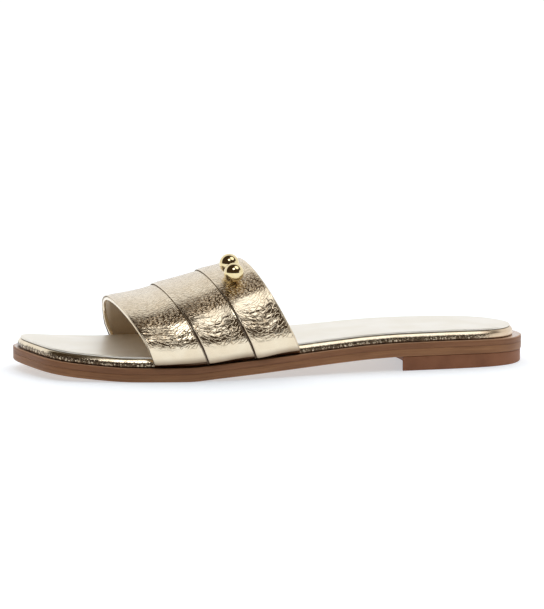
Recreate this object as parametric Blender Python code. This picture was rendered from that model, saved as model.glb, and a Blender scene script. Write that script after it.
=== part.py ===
"""Flat leather slide for the left foot: leather sole, low heel, wrapped insole and one pleated strap.

Lengths in the tables and functions are millimetres. While a piece is worked out, x runs from the back of
the heel to the toe, y is positive towards the outer (lateral) side and z is the height above the floor.
"""

import math

import bmesh
import bpy
import numpy as np

MM = 0.001
GAP = 0.3
SHARP_ANGLE = 35.0

# The tread outline, seen from above, as the points that its curve passes through: name, x and y.
OUTLINE = (
    ("heel back", 0.0, 0.0),
    ("heel turn, outer", 9.5, 20.3),
    ("heel side, outer", 34.0, 28.3),
    ("heel breast, outer", 66.0, 30.0),
    ("waist, outer", 92.0, 31.8),
    ("instep, outer", 119.0, 36.0),
    ("ball rear, outer", 146.0, 40.2),
    ("ball, outer", 169.0, 41.7),
    ("little toe", 196.0, 37.4),
    ("toe side, outer", 220.0, 30.2),
    ("toe corner, outer", 237.0, 20.0),
    ("toe end", 245.6, 2.0),
    ("toe tip", 250.0, -20.0),
    ("toe corner, inner", 245.2, -32.6),
    ("toe side, inner", 229.0, -40.6),
    ("big toe", 206.0, -45.3),
    ("ball, inner", 184.0, -46.8),
    ("ball rear, inner", 160.0, -43.4),
    ("instep, inner", 132.0, -33.4),
    ("waist, inner", 101.0, -27.2),
    ("heel breast, inner", 66.0, -28.8),
    ("heel side, inner", 34.0, -28.3),
    ("heel turn, inner", 9.5, -20.3),
)
OUTLINE_SAMPLES = 1200
STATIONS = 44

# The underside of the outsole along the foot: heel seat, waist, flat tread and toe spring.
PROFILE_COLUMNS = ("x", "underside")
PROFILE = (
    (0.0, 6.1),
    (22.0, 6.7),
    (45.0, 7.05),
    (66.0, 6.95),
    (82.0, 6.45),
    (99.0, 5.4),
    (120.0, 3.95),
    (140.0, 2.55),
    (160.0, 1.2),
    (176.0, 0.0),
    (200.0, 0.0),
    (225.0, 1.6),
    (250.0, 4.6),
)

# Sole layers from the floor up. Each layer starts a gap above the one below it.
OUTSOLE_THICKNESS = 3.8
MIDSOLE_THICKNESS = 2.6
INSOLE_THICKNESS = 3.7
COVER_THICKNESS = 0.8
EDGE_CHAMFER = 0.45
LEDGE = 2.2
LEDGE_AT_HEEL = 4.2
LEDGE_HEEL_REACH = 16.0

# Rims of the wrapped insole and of its cover: how far each ring lies inside the edge, and its share of the
# thickness. The cover's edge lies inside the insole's.
RIM = ((0.35, 0.0), (0.0, 0.16), (0.1, 0.62), (0.75, 0.9), (1.3, 1.0))
COVER_INSET = 1.5
COVER_RIM = ((0.0, 0.0), (0.0, 0.6), (0.4, 1.0))

# The heel's front face: its place on the outer side, how far the inner side lies ahead of that (less than
# zero is behind), and how deep the face is hollowed.
HEEL_INSET = 0.4
HEEL_CHAMFER = 0.5
BREAST_X = 67.5
BREAST_SLANT = -4.8
BREAST_HOLLOW = 5.6
BREAST_POINTS = 11
HEEL_STATIONS = 22

# The strap at its rear edge, its two fold edges and its front edge. Feet are the strap's ends on the sole's
# ledge, rise is the crown's height above the ledge, lean is how far the crown stands ahead of the feet.
STRAP_COLUMNS = ("edge", "outer_foot", "inner_foot", "rise", "lean")
STRAP_EDGES = (
    ("rear edge", 118.5, 122.5, 40.4, 19.0),
    ("first fold", 141.0, 145.2, 35.7, 17.2),
    ("second fold", 164.6, 169.2, 30.9, 14.8),
    ("front edge", 190.5, 195.5, 26.0, 11.5),
)
STRAP_THICKNESS = 2.0
PLEAT_STEP = 2.4
CROWN_SHIFT = -4.0
BULGE = 1.7
BULGE_HEIGHT = 8.0
FULLNESS = 2.25
WALL_START = 0.9
WALL_POINTS = 4
ARCH_POINTS = 12

# Across one pleat, from its rear to its folded edge: share of the pleat's width and of the step's height.
PLEAT_COLUMNS = ("across", "proud")
PLEAT = (
    (0.0, 0.0),
    (0.2, 0.02),
    (0.45, 0.25),
    (0.7, 0.68),
    (0.87, 0.95),
    (0.94, 1.0),
    (0.977, 0.78),
    (0.989, 0.3),
)
EDGE_ROUNDING = -0.25

# The folds are pressed flatter over the top: height above the strap's foot, and share of the step's height.
PRESS_COLUMNS = ("height", "share")
PRESS = ((0.0, 1.0), (8.0, 1.0), (24.0, 0.55), (60.0, 0.55))

# The strap's lasting margin, turned in under the insole, and the pocket that takes it. The turn into the
# wall is placed by how far its points lie outside the insole's edge and how far they have risen.
MARGIN_WIDTH = 9.0
MARGIN_THICKNESS = 1.3
MARGIN_TOP = GAP + MARGIN_THICKNESS
INNER_TURN_START = -0.8
INNER_TURN = (0.12, 0.15)
OUTER_TURN_START = 0.4
TURN_OUT = 1.8
TURN_UP = 1.0
POCKET_REACH = 6.0
POCKET_STATIONS = 14

# Polished balls side by side on the rear pleat's outer shoulder, the first at the row's start.
BEAD_DIAMETER = 9.5
BEAD_COUNT = 2
BEAD_PITCH = BEAD_DIAMETER + GAP
BEAD_ROW_X = 149.5
BEAD_ROW_START = 25.2
BEAD_LINE_PLACES = (0.45, 0.87)
BEAD_LINE_POINTS = 9
BEAD_SEGMENTS = 28
BEAD_RINGS = 18
BEAD_SHARP_ANGLE = 60.0

MATERIALS = {
    "sole_tan": ((0.56, 0.34, 0.16), 0.55, 0.0),
    "edge_brown": ((0.20, 0.095, 0.05), 0.45, 0.0),
    "heel_brown": ((0.19, 0.085, 0.055), 0.6, 0.0),
    "gold_crackle": ((0.78, 0.66, 0.43), 0.33, 0.85),
    "gold_smooth": ((0.86, 0.80, 0.66), 0.38, 0.7),
    "gold_metal": ((0.83, 0.63, 0.27), 0.12, 1.0),
}


def clear_scene():
    for old in list(bpy.data.objects):
        bpy.data.objects.remove(old, do_unlink=True)


def material(name):
    colour, roughness, metallic = MATERIALS[name]
    made = bpy.data.materials.get(name) or bpy.data.materials.new(name)
    made.use_nodes = True
    shader = made.node_tree.nodes["Principled BSDF"]
    shader.inputs["Base Color"].default_value = (*colour, 1.0)
    shader.inputs["Roughness"].default_value = roughness
    shader.inputs["Metallic"].default_value = metallic
    return made


def column(table, names, wanted):
    return np.array([row[names.index(wanted)] for row in table])


def smooth_table(xs, ys, at):
    """A smooth curve through a table that never overshoots: cubic pieces whose slopes are harmonic means."""
    xs, ys, at = np.asarray(xs, float), np.asarray(ys, float), np.asarray(at, float)
    rise = np.diff(ys) / np.diff(xs)
    slope = np.concatenate([rise[:1], np.zeros(len(xs) - 2), rise[-1:]])
    same_way = rise[:-1] * rise[1:] > 0
    both = np.where(same_way, rise[:-1] + rise[1:], 1.0)
    slope[1:-1] = np.where(same_way, 2 * rise[:-1] * rise[1:] / both, 0.0)
    i = np.clip(np.searchsorted(xs, at, side="right") - 1, 0, len(xs) - 2)
    step = xs[i + 1] - xs[i]
    t = (at - xs[i]) / step
    start = (1 + 2 * t) * (1 - t) ** 2 * ys[i] + t * (1 - t) ** 2 * step * slope[i]
    end = t * t * (3 - 2 * t) * ys[i + 1] + t * t * (t - 1) * step * slope[i + 1]
    return start + end


def closed_curve(points, count):
    """A closed cubic spline through the points, with chord lengths as its parameter, as count points."""
    points = np.asarray(points, float)
    ahead = np.roll(points, -1, 0) - points
    chord = np.linalg.norm(ahead, axis=1)
    before = np.roll(chord, 1)
    size = len(points)
    system = np.zeros((size, size))
    index = np.arange(size)
    system[index, index] = 2 * (before + chord)
    system[index, index - 1] += before
    system[index, (index + 1) % size] += chord
    slope = ahead / chord[:, None]
    bend = np.linalg.solve(system, 6 * (slope - np.roll(slope, 1, 0)))
    knots = np.concatenate([[0.0], np.cumsum(chord)])
    at = np.linspace(0, knots[-1], count, endpoint=False)
    i = np.searchsorted(knots, at, side="right") - 1
    j = (i + 1) % size
    step = chord[i][:, None]
    left, right = (knots[i + 1] - at)[:, None], (at - knots[i])[:, None]
    cubic = (bend[i] * left**3 + bend[j] * right**3) / (6 * step)
    near = (points[i] / step - bend[i] * step / 6) * left
    far = (points[j] / step - bend[j] * step / 6) * right
    return cubic + near + far


def tread_outline():
    return closed_curve([row[1:] for row in OUTLINE], OUTLINE_SAMPLES)


def inset_outline(distance):
    """The tread outline moved inwards. distance is a number, or a function of x."""
    edge = tread_outline()
    along = np.roll(edge, -1, 0) - np.roll(edge, 1, 0)
    along /= np.linalg.norm(along, axis=1)[:, None]
    inwards = np.stack([along[:, 1], -along[:, 0]], 1)
    amount = distance(edge[:, 0]) if callable(distance) else np.full(len(edge), distance)
    return edge + inwards * amount[:, None]


def ledge_at(x):
    """How far the insole's edge lies inside the sole's: wider behind the heel."""
    return LEDGE + (LEDGE_AT_HEEL - LEDGE) * np.exp(-((x / LEDGE_HEEL_REACH) ** 2))


def sides_of(edge):
    """The outline's outer and inner sides, each sorted from heel to toe."""
    back, front = int(edge[:, 0].argmin()), int(edge[:, 0].argmax())
    turned = np.roll(edge, -back, 0)
    front = (front - back) % len(edge)
    outer = turned[: front + 1]
    inner = np.concatenate([turned[front:], turned[:1]])[::-1]
    return outer, inner


def half_widths(edge, x):
    """y of the outer and inner side of an outline at x."""
    outer, inner = sides_of(edge)
    return np.interp(x, outer[:, 0], outer[:, 1]), np.interp(x, inner[:, 0], inner[:, 1])


def station_ring(edge, height):
    """A closed ring of points round an outline, paired across the foot. height is a function of x."""
    outer, _ = sides_of(edge)
    share = (1 - np.cos(np.linspace(0, math.pi, STATIONS + 1))) / 2
    x = outer[0, 0] + share * (outer[-1, 0] - outer[0, 0])
    y_outer, y_inner = half_widths(edge, x)
    forth = np.stack([x, y_outer, height(x)], 1)
    back = np.stack([x, y_inner, height(x)], 1)[-2:0:-1]
    return np.concatenate([forth, back])


def underside(x):
    places, heights = (column(PROFILE, PROFILE_COLUMNS, name) for name in PROFILE_COLUMNS)
    return smooth_table(places, heights, x)


def ledge_height(x):
    """Height of the midsole's top face."""
    return underside(x) + OUTSOLE_THICKNESS + GAP + MIDSOLE_THICKNESS


def insole_height(x):
    return ledge_height(x) + GAP + INSOLE_THICKNESS


def new_mesh(name, bm, finish, sharp_angle=SHARP_ANGLE):
    bmesh.ops.recalc_face_normals(bm, faces=bm.faces)
    mesh = bpy.data.meshes.new(name)
    bm.to_mesh(mesh)
    bm.free()
    mesh.materials.append(material(finish))
    mesh.shade_smooth()
    mesh.set_sharp_from_angle(angle=math.radians(sharp_angle))
    return mesh


def new_object(name, bm, finish):
    return bpy.data.objects.new(name, new_mesh(name, bm, finish))


def link(obj, collection, parent):
    collection.objects.link(obj)
    obj.parent = parent


def join_rings(bm, rings):
    """Vertices for each ring, with a band of quads between each two."""
    made = [[bm.verts.new(point * MM) for point in ring] for ring in rings]
    for low, high in zip(made, made[1:]):
        for i in range(len(low)):
            j = (i + 1) % len(low)
            bm.faces.new((low[i], low[j], high[j], high[i]))
    return made


def cap_across(bm, ring):
    """Closes a station ring with a strip of faces from its outer to its inner side."""
    size = len(ring)
    for i in range(STATIONS):
        corners = [ring[i], ring[i + 1], ring[-(i + 1) % size], ring[-i % size]]
        bm.faces.new(list(dict.fromkeys(corners)))


def sole_layer(name, rings, finish):
    bm = bmesh.new()
    made = join_rings(bm, rings)
    cap_across(bm, made[0])
    cap_across(bm, made[-1])
    return new_object(name, bm, finish)


def chamfered_layer(name, bottom, thickness, finish):
    """A layer of the sole that fills the tread outline, with both its edges broken."""
    steps = (
        (EDGE_CHAMFER, 0.0),
        (0.0, EDGE_CHAMFER),
        (0.0, thickness - EDGE_CHAMFER),
        (EDGE_CHAMFER, thickness),
    )
    rings = [station_ring(inset_outline(inset), lambda x, up=up: bottom(x) + up) for inset, up in steps]
    return sole_layer(name, rings, finish)


def outsole():
    return chamfered_layer("outsole", underside, OUTSOLE_THICKNESS, "sole_tan")


def midsole():
    return chamfered_layer(
        "midsole", lambda x: underside(x) + OUTSOLE_THICKNESS + GAP, MIDSOLE_THICKNESS, "edge_brown"
    )


def insole():
    """The wrapped board on the midsole, with a rounded rim. Its pockets for the strap are cut later."""
    rings = [
        station_ring(
            inset_outline(lambda x, inset=inset: ledge_at(x) + inset),
            lambda x, share=share: ledge_height(x) + GAP + share * INSOLE_THICKNESS,
        )
        for inset, share in RIM
    ]
    return sole_layer("insole", rings, "gold_crackle")


def insole_cover():
    """The sock on the insole: a thin sheet inside the rim."""
    rings = [
        station_ring(
            inset_outline(lambda x, inset=inset: ledge_at(x) + COVER_INSET + inset),
            lambda x, share=share: insole_height(x) + GAP + share * COVER_THICKNESS,
        )
        for inset, share in COVER_RIM
    ]
    return sole_layer("insole_cover", rings, "gold_smooth")


def heel():
    """The low block under the heel seat. Its hollowed front face is square to the way the toe points."""
    low, high = (lambda x: 0.0 * x), (lambda x: underside(x) - GAP)
    steps = (
        (HEEL_INSET + HEEL_CHAMFER, low),
        (HEEL_INSET, lambda x: low(x) + HEEL_CHAMFER),
        (HEEL_INSET, lambda x: high(x) - HEEL_CHAMFER / 2),
        (HEEL_INSET + HEEL_CHAMFER / 2, high),
    )
    bm = bmesh.new()
    made = join_rings(bm, [heel_ring(inset, height) for inset, height in steps])
    for ring in (made[0], made[-1]):
        for i in range(HEEL_STATIONS - 1):
            corners = (ring[i], ring[i + 1], ring[-(i + 1)], ring[-i % len(ring)])
            bm.faces.new(list(dict.fromkeys(corners)))
        bm.faces.new(ring[HEEL_STATIONS - 1 : len(ring) - HEEL_STATIONS + 2])
    return new_object("heel", bm, "heel_brown")


def heel_ring(inset, height):
    """The outline behind the front face, closed by that face: a slanted line hollowed by a parabola."""
    outer, inner = sides_of(inset_outline(inset))
    first, front = outer[0, 0], BREAST_X - inset
    share = 1 - np.cos(np.linspace(0, math.pi / 2, HEEL_STATIONS))
    x_outer, x_inner = (first + share * (end - first) for end in (front, front + BREAST_SLANT))
    forth = np.stack([x_outer, np.interp(x_outer, outer[:, 0], outer[:, 1])], 1)
    back = np.stack([x_inner, np.interp(x_inner, inner[:, 0], inner[:, 1])], 1)[:0:-1]
    t = np.linspace(0, 1, BREAST_POINTS)[1:-1]
    breast = forth[-1] + (back[0] - forth[-1]) * t[:, None]
    breast[:, 0] -= BREAST_HOLLOW * 4 * t * (1 - t)
    flat = np.concatenate([forth, breast, back])
    return np.concatenate([flat, height(flat[:, :1])], 1)


def strap_value(wanted, place):
    """A column of the strap's table at a place counted in pleats: 0 is the rear edge, 3 the front edge."""
    edges = np.arange(len(STRAP_EDGES))
    return smooth_table(edges, column(STRAP_EDGES, STRAP_COLUMNS, wanted), place)


def pleat_places():
    """Places across the strap, and how proud the strap stands there: each pleat thickens to its fold."""
    across, proud = column(PLEAT, PLEAT_COLUMNS, "across"), column(PLEAT, PLEAT_COLUMNS, "proud")
    pleats = len(STRAP_EDGES) - 1
    places = np.concatenate([pleat + across for pleat in range(pleats)] + [[float(pleats)]])
    heights = np.concatenate([np.tile(proud, pleats), [EDGE_ROUNDING]])
    heights[0] = EDGE_ROUNDING
    return places, heights


def strap_section(place):
    """The strap's inner face at one place: points from the outer foot over the crown to the inner foot.

    Up to the bulge's height the wall swells by a parabola. Above it each side is a quarter superellipse.
    """
    edge = inset_outline(ledge_at)
    rise, lean = float(strap_value("rise", place)), float(strap_value("lean", place))
    turn = np.linspace(0, math.pi / 2, ARCH_POINTS + 1)[1:]
    wall = np.linspace(MARGIN_TOP + WALL_START, BULGE_HEIGHT, WALL_POINTS)
    z = np.concatenate([wall, BULGE_HEIGHT + (rise - BULGE_HEIGHT) * np.sin(turn) ** (2 / FULLNESS)])
    reach = np.concatenate([np.ones(WALL_POINTS), np.abs(np.cos(turn)) ** (2 / FULLNESS)])
    reach[-1] = 0.0
    swell = BULGE * (1 - np.clip((BULGE_HEIGHT - z) / (BULGE_HEIGHT - MARGIN_TOP), 0, 1) ** 2)
    halves = []
    for side, foot_name in enumerate(("outer_foot", "inner_foot")):
        foot = float(strap_value(foot_name, place))
        x = foot + lean * z / rise
        wide = half_widths(edge, x)[side] + (1 - 2 * side) * (GAP + swell)
        y = CROWN_SHIFT + (wide - CROWN_SHIFT) * reach
        halves.append(np.stack([x, y, z + ledge_height(np.array(foot))], 1))
    crown = (halves[0][-1] + halves[1][-1]) / 2
    settle = np.clip((z - BULGE_HEIGHT) / (rise - BULGE_HEIGHT), 0, 1)[:, None]
    outer, inner = (half + (crown - half[-1]) * settle for half in halves)
    return np.concatenate([outer, inner[-2::-1]])


def margin_rows(place, side, proud):
    """The lasting margin under the insole and its turn up into the wall: its upper and lower face."""
    foot = float(strap_value(("outer_foot", "inner_foot")[side], place))
    width = half_widths(inset_outline(ledge_at), foot)[side]
    base = float(ledge_height(np.array(foot)))
    turn = TURN_OUT + PLEAT_STEP * max(proud, 0.0)
    inner_turn = (INNER_TURN[0], MARGIN_TOP + INNER_TURN[1])
    upper = ((-MARGIN_WIDTH, MARGIN_TOP), (INNER_TURN_START, MARGIN_TOP), inner_turn)
    lower = ((-MARGIN_WIDTH, GAP), (OUTER_TURN_START, GAP), (turn, GAP + TURN_UP))
    outwards = 1 - 2 * side
    faces = []
    for rows in (upper, lower):
        faces.append(np.array([(foot, width + outwards * off, base + up) for off, up in rows]))
    return faces


def strap_faces(place, proud):
    """The strap's inner and outer face at one place, from one lasting margin to the other."""
    inner = strap_section(place)
    along = np.gradient(inner, axis=0)
    outwards = np.stack([np.zeros(len(inner)), along[:, 2], -along[:, 1]], 1)
    outwards /= np.linalg.norm(outwards, axis=1)[:, None]
    heights, shares = (column(PRESS, PRESS_COLUMNS, name) for name in PRESS_COLUMNS)
    pressed = smooth_table(heights, shares, inner[:, 2] - inner[:, 2].min())
    outer = inner + outwards * (STRAP_THICKNESS + PLEAT_STEP * proud * pressed)[:, None]
    upper, lower = zip(margin_rows(place, 0, proud), margin_rows(place, 1, proud))
    return (
        np.concatenate([upper[0], inner, upper[1][::-1]]),
        np.concatenate([lower[0], outer, lower[1][::-1]]),
    )


def upper():
    """One hollow strap: each section is a loop along its outer face and back along its inner face."""
    bm = bmesh.new()
    loops = []
    for place, proud in zip(*pleat_places()):
        inner, outer = strap_faces(place, proud)
        loops.append(np.concatenate([outer, inner[::-1]]))
    made = join_rings(bm, loops)
    size = len(loops[0])
    for ring in (made[0], made[-1]):
        for i in range(size // 2 - 1):
            bm.faces.new((ring[i], ring[i + 1], ring[size - 2 - i], ring[size - 1 - i]))
    return new_object("upper", bm, "gold_crackle")


def margin_pocket(side):
    """The cutter for the pocket in the insole's underside that takes one lasting margin."""
    foot = ("outer_foot", "inner_foot")[side]
    rear, front = (float(strap_value(foot, place)) for place in (0.0, len(STRAP_EDGES) - 1))
    x = np.linspace(rear - GAP, front + GAP, POCKET_STATIONS)
    width = half_widths(inset_outline(ledge_at), x)[side]
    outwards = 1 - 2 * side
    near, far = width - outwards * (MARGIN_WIDTH + GAP), width + outwards * POCKET_REACH
    low, high = ledge_height(x) - POCKET_REACH, ledge_height(x) + MARGIN_TOP + GAP
    corners = ((near, low), (far, low), (far, high), (near, high))
    sections = np.stack([np.stack([x, y, z], 1) for y, z in corners], 1)
    bm = bmesh.new()
    made = join_rings(bm, sections)
    bm.faces.new(made[0])
    bm.faces.new(made[-1])
    return new_object("margin_pocket_" + ("outer", "inner")[side], bm, "gold_crackle")


def cut(target, cutter):
    step = target.modifiers.new(cutter.name, "BOOLEAN")
    step.operation = "DIFFERENCE"
    step.solver = "EXACT"
    step.object = cutter
    cutter.hide_render = True
    cutter.display_type = "WIRE"


def bead_centres():
    """Where the balls sit: points at one x along the rear pleat's outer face, raised by a ball's radius."""
    across, proud = column(PLEAT, PLEAT_COLUMNS, "across"), column(PLEAT, PLEAT_COLUMNS, "proud")
    places = np.linspace(*BEAD_LINE_PLACES, BEAD_LINE_POINTS)
    skin = np.array([strap_faces(place, np.interp(place, across, proud))[1] for place in places])
    arch = slice(len(skin[0]) // 4, -(len(skin[0]) // 4))
    line, slope = [], []
    for row in np.moveaxis(skin, 1, 0)[arch]:
        line.append([np.interp(BEAD_ROW_X, row[:, 0], row[:, axis]) for axis in range(3)])
        slope.append(row[-1] - row[0])
    line = np.array(line)
    outwards = np.cross(np.gradient(line, axis=0), np.array(slope))
    outwards *= np.sign(outwards[:, 2:]) / np.linalg.norm(outwards, axis=1)[:, None]
    centre_line = line + outwards * (BEAD_DIAMETER / 2 + GAP)
    length = np.concatenate([[0.0], np.cumsum(np.linalg.norm(np.diff(centre_line, axis=0), axis=1))])
    at = np.interp(-BEAD_ROW_START, -centre_line[:, 1], length) + np.arange(BEAD_COUNT) * BEAD_PITCH
    return np.stack([np.interp(at, length, centre_line[:, axis]) for axis in range(3)], 1)


def bead_mesh():
    bm = bmesh.new()
    bmesh.ops.create_uvsphere(
        bm, u_segments=BEAD_SEGMENTS, v_segments=BEAD_RINGS, radius=BEAD_DIAMETER / 2 * MM
    )
    return new_mesh("bead", bm, "gold_metal", BEAD_SHARP_ANGLE)


def beads():
    ball = bead_mesh()
    made = []
    for number, centre in enumerate(bead_centres(), 1):
        bead = bpy.data.objects.new(f"bead_{number}", ball)
        bead.location = centre * MM
        made.append(bead)
    return made


def middle(pieces):
    """The middle of the pieces' box, seen from above."""
    low = np.full(3, np.inf)
    high = np.full(3, -np.inf)
    for piece in pieces:
        places = np.empty(len(piece.data.vertices) * 3)
        piece.data.vertices.foreach_get("co", places)
        places = places.reshape(-1, 3) + np.array(piece.location)
        low, high = np.minimum(low, places.min(0)), np.maximum(high, places.max(0))
    return (low[:2] + high[:2]) / 2


def collection(name):
    made = bpy.data.collections.new(name)
    bpy.context.scene.collection.children.link(made)
    return made


def main():
    clear_scene()
    sandal, cutters = collection("leather_slide_sandal"), collection("cutters")
    footbed = insole()
    pockets = [margin_pocket(side) for side in (0, 1)]
    pieces = [outsole(), midsole(), heel(), footbed, insole_cover(), upper(), *beads()]
    root = bpy.data.objects.new("leather_slide_sandal", None)
    sandal.objects.link(root)
    x, y = middle(pieces)
    root.location = (-x, -y, 0.0)
    for piece in pieces:
        link(piece, sandal, root)
    for pocket in pockets:
        link(pocket, cutters, root)
        cut(footbed, pocket)


main()
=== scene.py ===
import math

import bmesh
import bpy
import numpy as np
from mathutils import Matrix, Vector


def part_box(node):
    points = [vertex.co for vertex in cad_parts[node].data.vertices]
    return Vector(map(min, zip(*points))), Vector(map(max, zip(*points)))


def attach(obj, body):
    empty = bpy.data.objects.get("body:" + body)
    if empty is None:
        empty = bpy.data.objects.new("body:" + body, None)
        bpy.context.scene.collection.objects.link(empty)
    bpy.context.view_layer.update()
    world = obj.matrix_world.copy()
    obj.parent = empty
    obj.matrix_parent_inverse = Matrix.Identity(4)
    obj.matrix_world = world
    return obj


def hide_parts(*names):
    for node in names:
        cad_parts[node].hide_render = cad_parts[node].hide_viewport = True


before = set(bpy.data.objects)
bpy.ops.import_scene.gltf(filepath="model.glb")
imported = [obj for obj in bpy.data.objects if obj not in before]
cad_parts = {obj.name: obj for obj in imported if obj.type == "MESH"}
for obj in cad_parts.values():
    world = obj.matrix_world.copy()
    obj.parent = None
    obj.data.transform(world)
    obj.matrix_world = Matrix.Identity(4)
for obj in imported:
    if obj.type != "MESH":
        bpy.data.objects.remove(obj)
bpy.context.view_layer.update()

# Outsole
# One bend of tan sole leather, cut to the tread outline and cemented under the midsole. Its edge is
# trimmed, inked brown and waxed. Its underside is bare leather, brushed across the foot.
MM = 0.001
LAYER_GAP = 0.3
CEMENT = 0.26
OUTSOLE_THICKNESS = 3.8
OUTSOLE_EDGE_RADII = (0.75, 0.18)
TREAD_OUTLINE = (
    (0.0, 0.0), (9.5, 20.3), (34.0, 28.3), (66.0, 30.0), (92.0, 31.8), (119.0, 36.0), (146.0, 40.2),
    (169.0, 41.7), (196.0, 37.4), (220.0, 30.2), (237.0, 20.0), (245.6, 2.0), (250.0, -20.0),
    (245.2, -32.6), (229.0, -40.6), (206.0, -45.3), (184.0, -46.8), (160.0, -43.4), (132.0, -33.4),
    (101.0, -27.2), (66.0, -28.8), (34.0, -28.3), (9.5, -20.3),
)
UNDERSIDE = (
    (0.0, 6.1), (22.0, 6.7), (45.0, 7.05), (66.0, 6.95), (82.0, 6.45), (99.0, 5.4), (120.0, 3.95),
    (140.0, 2.55), (160.0, 1.2), (176.0, 0.0), (200.0, 0.0), (225.0, 1.6), (250.0, 4.6),
)
TREAD_STEPS = 2400
SOLE_STATIONS = 200
SOLE_ACROSS = 40
ROUND_STEPS = 7
SIDE_ROWS = 2 * ROUND_STEPS
MERGED_WITHIN = 1e-6
NOISE_RANGE = (0.3, 0.7)
TAN = ((0.46, 0.255, 0.105, 1.0), (0.60, 0.365, 0.175, 1.0))
TAN_GRAIN = 0.00012
BRUSH_MARKS = (0.55, 0.035, 0.2)
OUTSOLE_INK = ((0.228, 0.102, 0.046, 1.0), (0.343, 0.166, 0.076, 1.0))
INK_STREAKS = (0.035, 1.6, 1.0)
INK_CLOUDS = (0.06, 0.2, 1.0)
INK_RANGE = (0.32, 0.68)


def eased(table, at):
    """A curve through a table of (x, value) that never overshoots: cubics with harmonic mean slopes."""
    xs, ys = np.array(table, float).T
    rise = np.diff(ys) / np.diff(xs)
    same_way = rise[:-1] * rise[1:] > 0
    both = np.where(same_way, rise[:-1] + rise[1:], 1.0)
    inside = np.where(same_way, 2 * rise[:-1] * rise[1:] / both, 0.0)
    slope = np.concatenate([rise[:1], inside, rise[-1:]])
    at = np.asarray(at, float)
    i = np.clip(np.searchsorted(xs, at, side="right") - 1, 0, len(xs) - 2)
    step = xs[i + 1] - xs[i]
    t = (at - xs[i]) / step
    start = (1 + 2 * t) * (1 - t) ** 2 * ys[i] + t * (1 - t) ** 2 * step * slope[i]
    end = t * t * (3 - 2 * t) * ys[i + 1] + t * t * (t - 1) * step * slope[i + 1]
    return start + end


def closed_curve(points, count):
    """A closed cubic spline through the points, with chord lengths as its parameter, as count points."""
    points = np.array(points, float)
    ahead = np.roll(points, -1, 0) - points
    chord = np.linalg.norm(ahead, axis=1)
    before = np.roll(chord, 1)
    size = len(points)
    index = np.arange(size)
    system = np.zeros((size, size))
    system[index, index] = 2 * (before + chord)
    system[index, index - 1] += before
    system[index, (index + 1) % size] += chord
    slope = ahead / chord[:, None]
    bend = np.linalg.solve(system, 6 * (slope - np.roll(slope, 1, 0)))
    knots = np.concatenate([[0.0], np.cumsum(chord)])
    at = np.linspace(0, knots[-1], count, endpoint=False)
    i = np.searchsorted(knots, at, side="right") - 1
    j = (i + 1) % size
    step = chord[i][:, None]
    left, right = (knots[i + 1] - at)[:, None], (at - knots[i])[:, None]
    cubic = (bend[i] * left**3 + bend[j] * right**3) / (6 * step)
    near = (points[i] / step - bend[i] * step / 6) * left
    far = (points[j] / step - bend[j] * step / 6) * right
    return cubic + near + far


TREAD = closed_curve(TREAD_OUTLINE, TREAD_STEPS)
BOX_CORNER = np.array(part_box("outsole")[0]) / MM
SHOE_ORIGIN = np.array([BOX_CORNER[0] - TREAD[:, 0].min(), BOX_CORNER[1] - TREAD[:, 1].min(), 0.0])


def tread_inside(inset, ledge=None):
    """The tread outline moved inwards along its normals, by inset plus ledge(x) where a ledge is given."""
    along = np.roll(TREAD, -1, 0) - np.roll(TREAD, 1, 0)
    along /= np.linalg.norm(along, axis=1)[:, None]
    amount = inset + (0.0 if ledge is None else ledge(TREAD[:, 0]))
    return TREAD + np.stack([along[:, 1], -along[:, 0]], 1) * np.reshape(amount, (-1, 1))


def sides_of(edge):
    """The outer and the inner side of an outline, each from heel to toe."""
    turned = np.roll(edge, -int(edge[:, 0].argmin()), 0)
    front = int(turned[:, 0].argmax())
    return turned[: front + 1], np.concatenate([turned[front:], turned[:1]])[::-1]


def widths_at(edge, x):
    """y of an outline's outer and inner side at x."""
    return [np.interp(x, side[:, 0], side[:, 1]) for side in sides_of(edge)]


def underside(x):
    """Height of the outsole's underside, an eased curve: flat under the ball, rising to heel and toe."""
    return eased(UNDERSIDE, x)


def rounded_side(thickness, low_radius, high_radius):
    """Inset and height up a layer's edge: a quarter circle, a straight side and a quarter circle."""
    turn = np.linspace(0, math.pi / 2, ROUND_STEPS)
    inset = np.concatenate([low_radius * (1 - np.sin(turn)), high_radius * (1 - np.cos(turn))])
    up = np.concatenate([low_radius * (1 - np.cos(turn)), thickness - high_radius * (1 - np.sin(turn))])
    return inset, up


def layer_points(side, base, stations, across, ledge=None):
    """A closed layer of the sole: rows run round its cross-section, columns run from heel to toe.

    The rows go up the outer side, over the top, down the inner side and back under the bottom. Columns
    are spaced by a cosine, so that they crowd together round the heel and the toe.
    """
    share = (1 - np.cos(np.linspace(0, math.pi, stations + 1))) / 2
    edges = [tread_inside(inset, ledge) for inset in side[0]]
    x = np.array([edge[:, 0].min() + share * np.ptp(edge[:, 0]) for edge in edges])
    y = np.array([widths_at(edge, row) for edge, row in zip(edges, x)])
    z = base(x) + side[1][:, None]
    outer, inner = (np.stack([x, y[:, i], z], -1) for i in (0, 1))
    cross = np.linspace(0, 1, across + 2)[1:-1, None, None]
    top = outer[-1] + (inner[-1] - outer[-1]) * cross
    bottom = inner[0] + (outer[0] - inner[0]) * cross
    return np.concatenate([outer, top, inner[::-1], bottom])


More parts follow.
